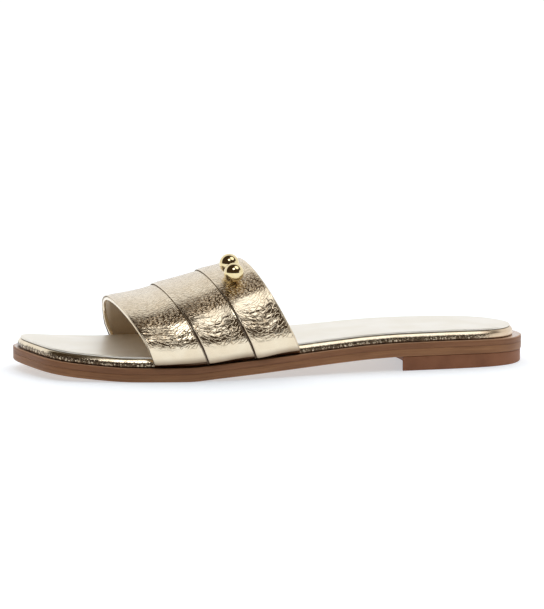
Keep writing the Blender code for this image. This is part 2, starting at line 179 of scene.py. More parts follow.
def edge_map(points, side_rows):
    """For a layer's points: length along the edge from the heel, height up the side, and 1 on the side."""
    step = np.linalg.norm(np.diff(points[..., :2], axis=1), axis=2)
    length = np.concatenate([np.zeros((len(points), 1)), np.cumsum(step, 1)], 1)
    length *= length[:, -1:].mean() / np.maximum(length[:, -1:], 1.0)
    height = points[..., 2] - underside(points[..., 0])
    is_side = np.zeros(len(points))
    is_side[:side_rows] = 1.0
    is_side[side_rows + SOLE_ACROSS : 2 * side_rows + SOLE_ACROSS] = 1.0
    return np.stack([length, height, np.broadcast_to(is_side[:, None], length.shape)], -1)


def surface(name, grids, material, closed=(True, False), maps=None, ends=False):
    """A smooth piece over grids of points in millimetres, joined in rows and columns.

    Grids are merged where they meet. closed says which directions close on themselves, maps holds a named
    vector for each point of each grid, and ends closes the first and last column with a face.
    """
    places, faces, shift = [], [], 0
    for grid in grids:
        index = np.arange(grid.shape[0] * grid.shape[1]).reshape(grid.shape[:2]) + shift
        shift += index.size
        wrapped = np.pad(index, [(0, int(wrap)) for wrap in closed], mode="wrap")
        corners = (wrapped[:-1, :-1], wrapped[:-1, 1:], wrapped[1:, 1:], wrapped[1:, :-1])
        faces += np.stack(corners, -1).reshape(-1, 4).tolist()
        if ends:
            faces += [index[:, 0].tolist(), index[::-1, -1].tolist()]
        places.append(grid.reshape(-1, 3))
    mesh = bpy.data.meshes.new(name)
    mesh.from_pydata(((np.concatenate(places) + SHOE_ORIGIN) * MM).tolist(), [], faces)
    for map_name, vectors in (maps or {}).items():
        values = np.concatenate([vector.reshape(-1, 3) for vector in vectors])
        mesh.attributes.new(map_name, "FLOAT_VECTOR", "POINT").data.foreach_set("vector", values.ravel())
    work = bmesh.new()
    work.from_mesh(mesh)
    bmesh.ops.remove_doubles(work, verts=work.verts, dist=MERGED_WITHIN)
    bmesh.ops.recalc_face_normals(work, faces=work.faces)
    work.to_mesh(mesh)
    work.free()
    mesh.shade_smooth()
    mesh.materials.append(material)
    piece = bpy.data.objects.new(name, mesh)
    bpy.context.scene.collection.objects.link(piece)
    return piece


class Wire:
    """A socket in a material's nodes: arithmetic adds Math nodes, and node() adds any other node."""

    def __init__(self, tree, socket=None):
        self.tree = tree
        self.socket = socket

    def node(self, kind, settings=None, inputs=None, output=0):
        """Adds a node, makes its settings, gives its inputs values or links, and returns one output."""
        made = self.tree.nodes.new("ShaderNode" + kind)
        for name, value in (settings or {}).items():
            setattr(made, name, value)
        for name, value in (inputs or {}).items():
            if isinstance(value, Wire):
                self.tree.links.new(value.socket, made.inputs[name])
            else:
                made.inputs[name].default_value = value
        return Wire(self.tree, made.outputs[output])

    def math(self, operation, *values):
        """One operation on values or wires."""
        return self.node("Math", {"operation": operation}, dict(enumerate(values)))

    def __add__(self, other):
        return self.math("ADD", self, other)

    __radd__ = __add__

    def __sub__(self, other):
        return self.math("SUBTRACT", self, other)

    def __rsub__(self, other):
        return self.math("SUBTRACT", other, self)

    def __mul__(self, other):
        return self.math("MULTIPLY", self, other)

    __rmul__ = __mul__

    def ramp(self, low, high):
        """0 below low, 1 above high and a smooth step between."""
        ends = {"Value": self, "From Min": low, "From Max": high}
        return self.node("MapRange", {"interpolation_type": "SMOOTHSTEP"}, ends)

    def colour(self, low, high):
        """The colour low where this wire is 0, and high where it is 1: a Mix node's colour sockets."""
        return self.node("Mix", {"data_type": "RGBA"}, {0: self, 6: low, 7: high}, output=2)

    def stretched(self, scales):
        """This vector times scales, axis by axis."""
        return self.node("VectorMath", {"operation": "MULTIPLY"}, {0: self, 1: scales})

    def shifted(self, other):
        """This vector plus another one."""
        return self.node("VectorMath", {"operation": "ADD"}, {0: self, 1: other})

    def noise(self, scale, detail=2.0, roughness=0.5, output="Fac"):
        """Cloudy noise over this vector, from 0 to 1."""
        values = {"Vector": self, "Scale": scale, "Detail": detail, "Roughness": roughness}
        return self.node("TexNoise", {}, values, output=output)

    def part(self, axis):
        """One of this vector's three numbers."""
        return self.node("SeparateXYZ", {}, {0: self}, output=axis)

    def bump(self, depth, strength=0.5):
        """A normal from this wire as a height, depth metres high."""
        return self.node("Bump", {}, {"Height": self, "Distance": depth, "Strength": strength})


def finish(name, fixed, varying):
    """A material: fixed values go on the shader's sockets, varying(wire) gives the wires that change."""
    made = bpy.data.materials.new(name)
    made.use_nodes = True
    tree = made.node_tree
    shader = tree.nodes["Principled BSDF"]
    for socket, value in fixed.items():
        shader.inputs[socket].default_value = value
    for socket, wire in varying(Wire(tree)).items():
        tree.links.new(wire.socket, shader.inputs[socket])
    return made


def mapped(wire, name):
    """A vector that the piece's mesh holds for each point."""
    return wire.node("Attribute", {"attribute_name": name}, output="Vector")


def on_side(wire):
    """1 on a sole layer's edge and 0 on its top and underside."""
    return mapped(wire, "edge").part(2).ramp(0.2, 0.8)


def in_place(wire):
    """Object coordinates in millimetres."""
    return wire.node("TexCoord", output="Object").stretched((1 / MM, 1 / MM, 1 / MM))


def inked_edge(wire, dark, light):
    """Colour, roughness and height of an inked edge: the layers of the hide show as streaks along it."""
    edge = mapped(wire, "edge")
    streak = edge.stretched(INK_STREAKS).noise(1.0, 3.0, 0.6)
    cloud = edge.stretched(INK_CLOUDS).noise(1.0)
    shade = (0.65 * streak + 0.35 * cloud).ramp(*INK_RANGE)
    return shade.colour(dark, light), 0.36 + 0.22 * cloud, streak


def tan_and_ink(wire):
    """Tan leather with brush marks, blotches and pores underneath, and an inked edge."""
    place = in_place(wire)
    brushed = place.stretched(BRUSH_MARKS).noise(1.0, 4.0, 0.6)
    blotch = place.noise(0.03, 3.0, 0.55)
    pores = place.noise(2.2, 2.0, 0.6)
    bare = (0.55 * brushed + 0.45 * blotch).ramp(*NOISE_RANGE).colour(*TAN)
    ink, ink_roughness, streak = inked_edge(wire, *OUTSOLE_INK)
    side = on_side(wire)
    height = side * streak + (1.0 - side) * (0.6 * brushed + 0.4 * pores)
    return {
        "Base Color": side.colour(bare, ink),
        "Roughness": side * ink_roughness + (1.0 - side) * (0.44 + 0.16 * brushed),
        "Normal": height.bump(TAN_GRAIN),
    }


outsole_side = rounded_side(OUTSOLE_THICKNESS, *OUTSOLE_EDGE_RADII)
outsole_points = layer_points(outsole_side, underside, SOLE_STATIONS, SOLE_ACROSS)
outsole_maps = {"edge": [edge_map(outsole_points, SIDE_ROWS)]}
sole_leather = finish("tan_sole_leather", {"Specular IOR Level": 0.22}, tan_and_ink)
outsole = surface("outsole_leather", [outsole_points], sole_leather, maps=outsole_maps)
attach(outsole, "root")
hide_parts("outsole")

# Midsole
# A second, thinner layer of leather on the outsole, trimmed and inked with it, so that only a fine line
# shows between the two. Its top is a narrow ledge round the insole.
MIDSOLE_THICKNESS = 2.6
MIDSOLE_EDGE_RADII = (0.18, 0.5)
MIDSOLE_INK = ((0.199, 0.086, 0.038, 1.0), (0.290, 0.132, 0.061, 1.0))
MIDSOLE_GRAIN = 0.0001
# Paler brown on the midsole's rounded upper corner: partly rubbed leather, partly a painted highlight where
# the corner catches the light.
WORN_AND_LIT_CORNER = (6.3, 6.6)
WORN_AND_LIT_BROWN = (0.42, 0.235, 0.130, 1.0)


def midsole_base(x):
    """The midsole's underside, pressed into the cement on the outsole."""
    return underside(x) + OUTSOLE_THICKNESS + LAYER_GAP - CEMENT


def ledge_height(x):
    """Height of the midsole's top, which the insole and the strap stand on."""
    return underside(x) + OUTSOLE_THICKNESS + LAYER_GAP + MIDSOLE_THICKNESS


def brown_edge(wire):
    """An inked edge, paler along its upper corner, partly where it is rubbed and partly a painted highlight
    on the rounded corner, and a waxed ledge on top.
    """
    colour, roughness, streak = inked_edge(wire, *MIDSOLE_INK)
    # The rounded upper corner, mixed towards paler brown as wear and as a painted highlight.
    corner = mapped(wire, "edge").part(1).ramp(*WORN_AND_LIT_CORNER)
    return {
        "Base Color": (0.75 * corner).colour(colour, WORN_AND_LIT_BROWN),
        "Roughness": roughness,
        "Coat Weight": 0.9 * (1.0 - on_side(wire)),
        "Normal": streak.bump(MIDSOLE_GRAIN),
    }


midsole_side = rounded_side(MIDSOLE_THICKNESS + CEMENT, *MIDSOLE_EDGE_RADII)
midsole_points = layer_points(midsole_side, midsole_base, SOLE_STATIONS, SOLE_ACROSS)
midsole_maps = {"edge": [edge_map(midsole_points, SIDE_ROWS)]}
edge_leather = finish("inked_edge_leather", {"Specular IOR Level": 0.25, "Coat Roughness": 0.1}, brown_edge)
midsole = surface("midsole_leather", [midsole_points], edge_leather, maps=midsole_maps)
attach(midsole, "root")
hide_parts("midsole")

# Heel
# A low block of brown heel rubber, cemented under the heel seat and trimmed with the sole. Its front face
# is hollowed, and fine diagonal ribs are moulded into its tread.
HEEL_INSET = 0.4
HEEL_EDGE_RADII = (0.55, 0.3)
HEEL_BREAST_X = 67.5
HEEL_BREAST_SLANT = -4.8
HEEL_BREAST_HOLLOW = 5.6
HEEL_STATIONS = 230
HEEL_ACROSS = 170
RIB_PITCH = 1.6
RIB_DEPTH = 0.28
RIB_ANGLE = math.radians(38.0)
RIB_FULLNESS = 0.7
RIB_BORDER = 1.0
HEEL_BROWN = ((0.226, 0.091, 0.043, 1.0), (0.296, 0.123, 0.061, 1.0))
RUBBER_GRAIN = 0.00006


def heel_level(inset, s, t):
    """x and y on one level of the heel: s runs from back to front, t from the outer to the inner side.

    The two sides follow the tread outline and each row joins them by a straight line. Towards the front
    face the rows bend back by a parabola that grows with the cube of s.
    """
    sides = sides_of(tread_inside(HEEL_INSET + inset))
    first, front = sides[0][0, 0], HEEL_BREAST_X - inset
    ends = [first + s * (far - first) for far in (front, front + HEEL_BREAST_SLANT)]
    outer, inner = (np.stack([x, np.interp(x, *side.T)], -1) for x, side in zip(ends, sides))
    flat = outer + (inner - outer) * t[..., None]
    flat[..., 0] -= HEEL_BREAST_HOLLOW * 4 * t * (1 - t) * s**3
    return flat


def heel_block():
    """Two grids: the loop of sides, top and ribbed bottom from back to front, and the front face.

    The levels climb a rounded side. The lower ones are counted from the floor, the upper ones from the top.
    """
    inset, up = rounded_side(0.0, *HEEL_EDGE_RADII)
    s = 1 - np.cos(np.linspace(0, math.pi / 2, HEEL_STATIONS))[None, :]
    t = np.linspace(0, 1, HEEL_ACROSS)[:, None]

    def level(k, s, t):
        """Points of level k."""
        s, t = np.broadcast_arrays(s, t)
        flat = heel_level(inset[k], s, t)
        top = underside(flat[..., 0]) - LAYER_GAP + CEMENT
        height = up[k] + (0.0 if k < ROUND_STEPS else top)
        return np.concatenate([flat, np.broadcast_to(height, s.shape)[..., None]], -1)

    levels = range(SIDE_ROWS)
    outer = np.concatenate([level(k, s, np.zeros((1, 1))) for k in levels])
    inner = np.concatenate([level(k, s, np.ones((1, 1))) for k in levels])[::-1]
    bottom, top = level(0, s, t[::-1]), level(SIDE_ROWS - 1, s, t)
    across = bottom[..., 0] * math.cos(RIB_ANGLE) + bottom[..., 1] * math.sin(RIB_ANGLE)
    to_side = np.minimum(t, 1 - t)[::-1] * np.linalg.norm(bottom[0] - bottom[-1], axis=-1)
    to_front = (1 - s) * HEEL_BREAST_X
    border = np.clip(np.minimum(to_side, to_front) / RIB_BORDER, 0, 1)
    wave = 0.5 + 0.5 * np.cos(2 * math.pi * across / RIB_PITCH)
    bottom[..., 2] += border * RIB_DEPTH * wave**RIB_FULLNESS
    front = np.stack([level(k, np.ones((1, 1)), t)[:, 0] for k in levels])
    return np.concatenate([outer, top[1:-1], inner, bottom[1:-1], outer[:1]]), front


def heel_rubber(wire):
    """Matt brown rubber with soft clouds and fine specks."""
    place = in_place(wire)
    cloud = place.noise(0.12, 3.0, 0.6)
    speck = place.noise(3.5, 2.0, 0.6)
    return {
        "Base Color": (0.7 * cloud + 0.3 * speck).ramp(*NOISE_RANGE).colour(*HEEL_BROWN),
        "Roughness": 0.46 + 0.18 * cloud,
        "Normal": speck.bump(RUBBER_GRAIN),
    }


heel_loop, heel_front = heel_block()
rubber = finish("brown_heel_rubber", {"Specular IOR Level": 0.22}, heel_rubber)
heel = surface("heel_block", [heel_loop, heel_front], rubber, closed=(False, False))
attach(heel, "root")
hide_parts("heel")

# Insole
# A board wrapped in the strap's crackled gold leather, which is drawn over the edge and gathers there in
# fine upright creases. It is cemented on the midsole, over the ends of the strap.
INSOLE_THICKNESS = 3.7
INSOLE_RIM = (
    (0.3, 0.0), (0.05, 0.06), (0.0, 0.14), (0.05, 0.36), (0.14, 0.56), (0.34, 0.68), (0.66, 0.81),
    (1.0, 0.93), (1.5, 1.0),
)
RIM_ROWS = 24
INSOLE_STATIONS = 900
INSOLE_ACROSS = 8
LEDGE = 2.2
LEDGE_AT_HEEL = 4.2
LEDGE_HEEL_REACH = 16.0
POCKETS = ((120.5, 190.0), (124.5, 195.0))
POCKET_DEPTH = 1.7
POCKET_SLOPE = 1.0
NOISE_SLOPES = 128
NOISE_GAIN = 1.5
CREST = (8.6, 9.6)
GATHER_DEPTH = 0.24
GATHER_START = (16.0, 34.0)
GATHER_END = (0.0, 0.5)
GATHER_WAVER = 0.7
GATHER_WAVER_SIZE = (6.0, 2.0)
COARSE_GATHERS = (1.5, 3.2)
FINE_GATHERS = (0.75, 1.5)
FOIL = ((0.80, 0.68, 0.50, 1.0), (0.86, 0.755, 0.58, 1.0))
# Brown down in the foil's creases: partly leather under cracked foil, partly painted shade in the creases.
CREASE_SHADE_BROWN = (0.34, 0.22, 0.11, 1.0)
LONG_PILLOWS = (0.75, 0.22, 0.0)
LONG_PILLOW_EDGE = (0.0, 0.17)
SHORT_PILLOWS = (1.1, 0.42, 0.0)
SHORT_PILLOW_EDGE = (0.0, 0.42)
PILLOW_DRIFT = (2.6, 2.0, 0.0)
PILLOW_DRIFT_SCALE = (0.35, 0.3, 0.3)
FOIL_GRAIN = (2.4, 1.3, 0.0)
CRACKLE_DEPTH = 0.00009
# The heel's foil is mixed halfway to tan: a painted reflection of tan leather close behind the heel. It
# fades out between the two x values below, where the gathers start.
HEEL_TO_GATHERS = (18.0, 34.0)
TAN_REFLECTION = (0.62, 0.43, 0.27, 1.0)
# Dark brown down the rim's side in the gathers: painted shade.
GATHER_PAINTED_SHADE = (0.110, 0.066, 0.034, 1.0)
GATHER_FLECKS = (0.8, 0.3, 0.0)
CREST_RAGS = (0.5, 0.1, 0.0)


def ledge_at(x):
    """How far the insole's edge lies inside the sole's: wider behind the heel, by a bell curve."""
    return LEDGE + (LEDGE_AT_HEEL - LEDGE) * np.exp(-((x / LEDGE_HEEL_REACH) ** 2))


def step_between(low, high, x):
    """A smooth step from 0 at low to 1 at high."""
    t = np.clip((x - low) / (high - low), 0, 1)
    return t * t * (3 - 2 * t)


def insole_base(x):
    """Height of the insole's underside, a cement line above the midsole."""
    return ledge_height(x) + LAYER_GAP


def fold_noise(u, v, size, seed):
    """Smooth noise from about -1 to 1, in lumps of a size along u and v.

    Slopes are drawn at whole-number points and blended by a fifth-power ease.
    """
    angle = np.random.default_rng(seed).uniform(0, 2 * math.pi, (NOISE_SLOPES, NOISE_SLOPES))
    u, v = u / size[0], v / size[1]
    i, j = np.floor(u).astype(int), np.floor(v).astype(int)
    f, g = u - i, v - j

    def corner(right, up):
        """The slope drawn at one corner, times the way from it."""
        slope = angle[(i + right) % NOISE_SLOPES, (j + up) % NOISE_SLOPES]
        return np.cos(slope) * (f - right) + np.sin(slope) * (g - up)

    across, along = (t**3 * (t * (6 * t - 15) + 10) for t in (f, g))
    low = corner(0, 0) + (corner(1, 0) - corner(0, 0)) * across
    high = corner(0, 1) + (corner(1, 1) - corner(0, 1)) * across
    return NOISE_GAIN * (low + (high - low) * along)


def gathers(edge, x):
    """Height of the gathers: the size of two noises stretched up the edge, smooth round the heel's back."""
    length, height = edge[..., 0], edge[..., 1]
    waver = GATHER_WAVER * fold_noise(length, height, GATHER_WAVER_SIZE, 5)
    coarse = np.abs(fold_noise(length + waver, height, COARSE_GATHERS, 6))
    fine = np.abs(fold_noise(length - waver, height, FINE_GATHERS, 7))
    below_crest = 1 - step_between(*CREST, height)
    return GATHER_DEPTH * (0.7 * coarse + 0.3 * fine) * step_between(*GATHER_START, x) * below_crest


def insole_points():
    """The insole as a layer with a rolled rim, gathered sides and a pocket on each side for the strap.

    The gathers push the two sides out and fade at the toe, where the sides meet. A pocket lifts the
    underside above the strap's end, and less so the higher up the rim.
    """
    rim = np.linspace(0, 1, len(INSOLE_RIM))
    rows = np.linspace(0, 1, RIM_ROWS)
    inset, share = (eased(np.stack([rim, column], -1), rows) for column in np.array(INSOLE_RIM).T)
    side = (inset, share * INSOLE_THICKNESS)
    points = layer_points(side, insole_base, INSOLE_STATIONS, INSOLE_ACROSS, ledge_at)
    edge = edge_map(points, 0)
    x = points[..., 0]
    outwards = np.zeros(len(points))
    outwards[2 : RIM_ROWS - 1] = 1.0
    outwards[RIM_ROWS + INSOLE_ACROSS + 1 : 2 * RIM_ROWS + INSOLE_ACROSS - 2] = -1.0
    before_toe = step_between(*GATHER_END, x[:, -1:] - x)
    points[..., 1] += outwards[:, None] * gathers(edge, x) * before_toe
    start, stop = (np.where(points[..., 1] > 0, *ends) for ends in zip(*POCKETS))
    over_strap = step_between(start, start + POCKET_SLOPE, x)
    over_strap *= 1 - step_between(stop - POCKET_SLOPE, stop, x)
    low = np.clip(1 - (points[..., 2] - insole_base(x)) / INSOLE_THICKNESS, 0, 1)
    points[..., 2] += POCKET_DEPTH * over_strap * low
    edge[..., 2] = x
    return points, edge


def crackled_gold(wire, hide, tight, pebbled=0.0):
    """Foil on soft leather: fine creases between small pillows, duller and browner down in the creases, the
    brown partly leather under cracked foil and partly painted shade.

    The pillows are long, and shorter where pebbled is 1. Where tight is 1 there are none.
    """
    drift = hide.stretched(PILLOW_DRIFT_SCALE).noise(1.0, output="Color")
    bent = hide.shifted(drift.stretched(PILLOW_DRIFT))

    def cells(scales):
        """Distance from the nearest edge in a net of cells."""
        net = {"Vector": bent.stretched(scales), "Scale": 1.0, "Randomness": 1.0}
        return wire.node("TexVoronoi", {"feature": "DISTANCE_TO_EDGE", "voronoi_dimensions": "2D"}, net)

    long = cells(LONG_PILLOWS).ramp(*LONG_PILLOW_EDGE)
    short = cells(SHORT_PILLOWS).ramp(*SHORT_PILLOW_EDGE)
    pillow = long * (1.0 - pebbled) + short * pebbled
    fine = bent.stretched(FOIL_GRAIN).noise(1.0, 3.0, 0.6)
    loose = 1.0 - tight
    foil = hide.noise(0.09).ramp(*NOISE_RANGE).colour(*FOIL)
    height = loose * ((0.85 + 0.35 * pebbled) * pillow + 0.15 * fine) + 0.08 * fine
    return {
        # Brown in the creases: partly cracked foil, partly painted shade.
        "Base Color": ((1.0 - pillow) * loose * (0.6 + 0.4 * pebbled)).colour(foil, CREASE_SHADE_BROWN),
        "Roughness": 0.14 + 0.06 * fine + 0.08 * (1.0 - pillow) * loose,
        "Normal": height.bump(CRACKLE_DEPTH, 1.0),
    }


def insole_gold(wire):
    """Crackled foil below a ragged crest, a painted shade of dark brown with pale flecks down the gathered
    side, and a painted tan reflection and duller foil at the heel.
    """
    edge = mapped(wire, "edge")
    turned = edge.node("CombineXYZ", {}, {0: 1.7 * edge.part(0), 1: 1.5 * edge.part(1)})
    ragged = edge.part(1) + 1.6 * turned.stretched(CREST_RAGS).noise(1.0) - 0.8
    gathered = edge.part(2).ramp(*HEEL_TO_GATHERS)
    side = (1.0 - ragged.ramp(*CREST)) * gathered
    gold = crackled_gold(wire, turned, 1.0 - side)
    fleck = turned.stretched(GATHER_FLECKS).noise(1.0).ramp(0.5, 0.6)
    painted_shade = side * (0.95 - 0.75 * fleck)
    # Painted tan reflection at the heel, then painted shade down the gathered side.
    reflected = (0.5 - 0.5 * gathered).colour(gold["Base Color"], TAN_REFLECTION)
    gold["Base Color"] = painted_shade.colour(reflected, GATHER_PAINTED_SHADE)
    gold["Roughness"] = gold["Roughness"] + 0.12 * (1.0 - gathered)
    return gold


GOLD_FOIL = {"Metallic": 1.0, "Coat Weight": 0.15, "Coat Roughness": 0.2}
insole_grid, insole_edge = insole_points()
insole_finish = finish("crackled_gold_wrap", GOLD_FOIL, insole_gold)
insole = surface("insole_wrap", [insole_grid], insole_finish, maps={"edge": [insole_edge]})
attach(insole, "root")
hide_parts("insole")

# Strap
# One wide band of soft gold foil leather, laid in three pleats whose folds face the toe. It is pulled
# tight over the sole's edge, where it is smooth, and its ends are turned in and cemented between
# insole and midsole.
PLEATS = 3
STRAP_COLUMNS = ("outer_foot", "inner_foot", "rise", "lean")
STRAP_EDGES = (
    (118.5, 122.5, 40.4, 19.0),
    (141.0, 145.2, 35.7, 17.2),
    (164.6, 169.2, 30.9, 14.8),
    (190.5, 195.5, 26.0, 11.5),
)
STRAP_WALL = 2.0
STRAP_CROWN_Y = -4.0
STRAP_BULGE = 1.7
STRAP_BULGE_HEIGHT = 9.3
STRAP_FULLNESS = 2.25
STRAP_WALL_START = 2.5
STRAP_WALL_SHARE = 0.12
USUAL_RISE = 30.0
MARGIN_WIDTH = 9.0
MARGIN_TOP = 1.6
MARGIN_THICKNESS = 1.3
MARGIN_TURN = 0.6
MARGIN_COLUMNS = 5
TURN_COLUMNS = 7
FOOT_COLUMNS = MARGIN_COLUMNS + TURN_COLUMNS
FIRMING = (MARGIN_TOP + 0.1, STRAP_WALL_START + 0.8)
PLEAT_WIDTH = 24.0
PLEAT_STEP = 2.4
PLEAT_RISE = ((0.0, 0.0), (0.2, 0.02), (0.45, 0.25), (0.7, 0.68), (0.87, 0.95), (0.93, 1.0), (1.0, 1.0))
PLEAT_PRESS = ((0.0, 1.0), (12.0, 1.0), (24.0, 0.4), (32.0, 0.25), (60.0, 0.25))
FOLD_RADIUS = 0.7
FOLD_TURN = math.radians(50.0)
FOLD_GLEAM = math.radians(35.0)
FOLD_TUCK = 1.2
TUCK_ROWS = ((0.12, 0.1), (0.0, 0.03), (0.25, -0.03))
TUCK_END = 0.3
FRONT_EDGE = 0.65
FRONT_EDGE_ROUND = 0.5
FRONT_EDGE_STEP = 0.03
INSIDE_MARGIN = 1.6
REAR_ROWS = 10
FOLD_ROWS = 14
FRONT_ROWS = 8
INSIDE_ROWS = 12
STRAP_FINE_STEPS = 3000
STRAP_STEP_ACROSS = 0.8
STRAP_STEP_ALONG = 0.245
LINING = 0.35


def strap_value(column, place):
    """A column of the strap's table at a place counted in pleats: 0 is the rear edge, 3 the front edge."""
    rows = [(pleat, row[STRAP_COLUMNS.index(column)]) for pleat, row in enumerate(STRAP_EDGES)]
    return eased(rows, place)


def strap_path(low, off, climb, reach, place):
    """The strap's inner face: rows are places across it, columns run from the outer foot to the inner foot.

    A column stands low plus climb times the arch above the ledge, and off beyond the insole's edge. Above
    the bulge each side is a quarter of a superellipse, and the two meet at the crown.
    """
    rise, lean = strap_value("rise", place)[:, None], strap_value("lean", place)[:, None]
    edge = tread_inside(0.0, ledge_at)
    up = low + (rise - STRAP_BULGE_HEIGHT) * climb
    halves = []
    for side, foot_name in enumerate(("outer_foot", "inner_foot")):
        foot = strap_value(foot_name, place)[:, None]
        x = foot + lean * up / rise
        wide = widths_at(edge, x)[side] + (1 - 2 * side) * off
        y = STRAP_CROWN_Y + (wide - STRAP_CROWN_Y) * reach
        halves.append(np.stack([x, y, up + ledge_height(foot)], -1))
    crown = (halves[0][:, -1:] + halves[1][:, -1:]) / 2
    outer, inner = (half + (crown - half[:, -1:]) * climb[:, None] for half in halves)
    return np.concatenate([outer, inner[:, -2::-1]], 1)


def strap_columns():
    """low, off, climb and reach for one side: under the insole, round the turn, up the wall, over the arch.

    The wall swells out by a parabola up to the bulge. On the wall and the arch the columns are evenly
    spaced along the first fold.
    """
    share = np.linspace(0, 1, STRAP_FINE_STEPS)
    wall_climb = np.clip(share / STRAP_WALL_SHARE, 0, 1)
    wall = STRAP_WALL_START + (STRAP_BULGE_HEIGHT - STRAP_WALL_START) * wall_climb
    turn = np.clip((share - STRAP_WALL_SHARE) / (1 - STRAP_WALL_SHARE), 0, 1) * math.pi / 2
    swell = STRAP_BULGE * (1 - ((STRAP_BULGE_HEIGHT - wall) / (STRAP_BULGE_HEIGHT - MARGIN_TOP)) ** 2)
    climb = np.sin(turn) ** (2 / STRAP_FULLNESS)
    reach = np.abs(np.cos(turn)) ** (2 / STRAP_FULLNESS)
    reach[-1] = 0.0
    fine = (wall, LAYER_GAP + swell, climb, reach)
    line = strap_path(*fine, np.array([1.0]))[0, : len(share)]
    length = np.concatenate([[0.0], np.cumsum(np.linalg.norm(np.diff(line, axis=0), axis=1))])
    at = np.interp(np.linspace(0, length[-1], int(length[-1] / STRAP_STEP_ALONG)), length, share)
    low, off, climb, reach = (np.interp(at, share, row) for row in fine)
    under = np.linspace(-MARGIN_WIDTH, -MARGIN_TURN, MARGIN_COLUMNS + 1)[:-1]
    bend = np.linspace(0, math.pi / 2, TURN_COLUMNS + 1)[:-1]
    turn_low = STRAP_WALL_START - (STRAP_WALL_START - MARGIN_TOP) * np.cos(bend)
    turn_off = -MARGIN_TURN + (off[0] + MARGIN_TURN) * np.sin(bend)
    low = np.concatenate([np.full(MARGIN_COLUMNS, MARGIN_TOP), turn_low, low])
    off = np.concatenate([under, turn_off, off])
    climb = np.concatenate([np.zeros(FOOT_COLUMNS), climb])
    reach = np.concatenate([np.ones(FOOT_COLUMNS), reach])
    return low, off, climb, reach


def strap_profile():
    """Place, lift and distance past a fold: over the pleats from rear to front, and back along the inside.

    Each pleat rises to its fold by PLEAT_RISE, rounds the fold by an arc and tucks under itself, where
    the next pleat starts. Lift is the distance from the inner face. Under the fold's gleam and in the
    tuck the distance past it is 0.
    """
    rows = []

    def add(across, lift, pleat, past=PLEAT_WIDTH):
        """Adds rows at distances across one pleat."""
        place = pleat + np.asarray(across) / PLEAT_WIDTH
        rows.append(np.stack(np.broadcast_arrays(place, lift, past), -1))

    half = (STRAP_WALL - LINING) / 2
    rear = np.linspace(-math.pi / 2, math.pi / 2, REAR_ROWS + 1)[:-1]
    add(half * (1 - np.cos(rear)), STRAP_WALL - half + half * np.sin(rear), 0)
    over = np.linspace(math.pi / 2, -FOLD_TURN, FOLD_ROWS)
    fold_centre = PLEAT_WIDTH - FOLD_RADIUS
    ahead, above = np.array(TUCK_ROWS).T
    for pleat in range(PLEATS):
        across = np.arange(half if pleat == 0 else TUCK_END, fold_centre, STRAP_STEP_ACROSS)
        past = PLEAT_WIDTH if pleat == 0 else across
        add(across, STRAP_WALL + PLEAT_STEP * eased(PLEAT_RISE, across / PLEAT_WIDTH), pleat, past)
        up = STRAP_WALL + PLEAT_STEP - FOLD_RADIUS + FOLD_RADIUS * np.sin(over)
        add(fold_centre + FOLD_RADIUS * np.cos(over), up, pleat, PLEAT_WIDTH * (over > FOLD_GLEAM))
        add(PLEAT_WIDTH - FOLD_TUCK + ahead, STRAP_WALL + above, pleat, 0.0)
    front = np.linspace(math.pi / 2, -math.pi / 2, FRONT_ROWS + 1)[1:]
    front_lift = STRAP_WALL - half + (half - FRONT_EDGE_STEP) * np.sin(front)
    add(PLEAT_WIDTH - FRONT_EDGE + FRONT_EDGE_ROUND * np.cos(front), front_lift, PLEATS - 1)
    add(np.linspace(PLEATS * PLEAT_WIDTH - INSIDE_MARGIN, INSIDE_MARGIN, INSIDE_ROWS), LINING, 0)
    return np.concatenate(rows).T


def outwards_of(face):
    """Unit normals of an inner face, across the foot: the slope along it, turned by a right angle."""
    slope = np.gradient(face, axis=1)
    outwards = np.stack([np.zeros(face.shape[:2]), slope[..., 2], -slope[..., 1]], -1)
    return outwards / np.linalg.norm(outwards, axis=2)[..., None]


def smooth_strap(place, lift):
    """The strap before it creases: its inner face, the normals there, and the skin lifted off along them.

    The skin is thin on the margins under the insole, and the pleats are pressed flatter towards the crown.
    """
    low, off, climb, reach = strap_columns()
    inner = strap_path(low, off, climb, reach, place)
    outwards = outwards_of(inner)
    up = low + (USUAL_RISE - STRAP_BULGE_HEIGHT) * climb
    up = np.concatenate([up, up[-2::-1]])
    thin = np.clip(lift / STRAP_WALL, 0, 1)[:, None] * MARGIN_THICKNESS
    proud = np.maximum(lift - STRAP_WALL, 0)[:, None]
    pressed = lift[:, None] - proud * (1 - eased(PLEAT_PRESS, up))
    skin = inner + outwards * (thin + (pressed - thin) * step_between(*FIRMING, up))[..., None]
    return inner, outwards, skin


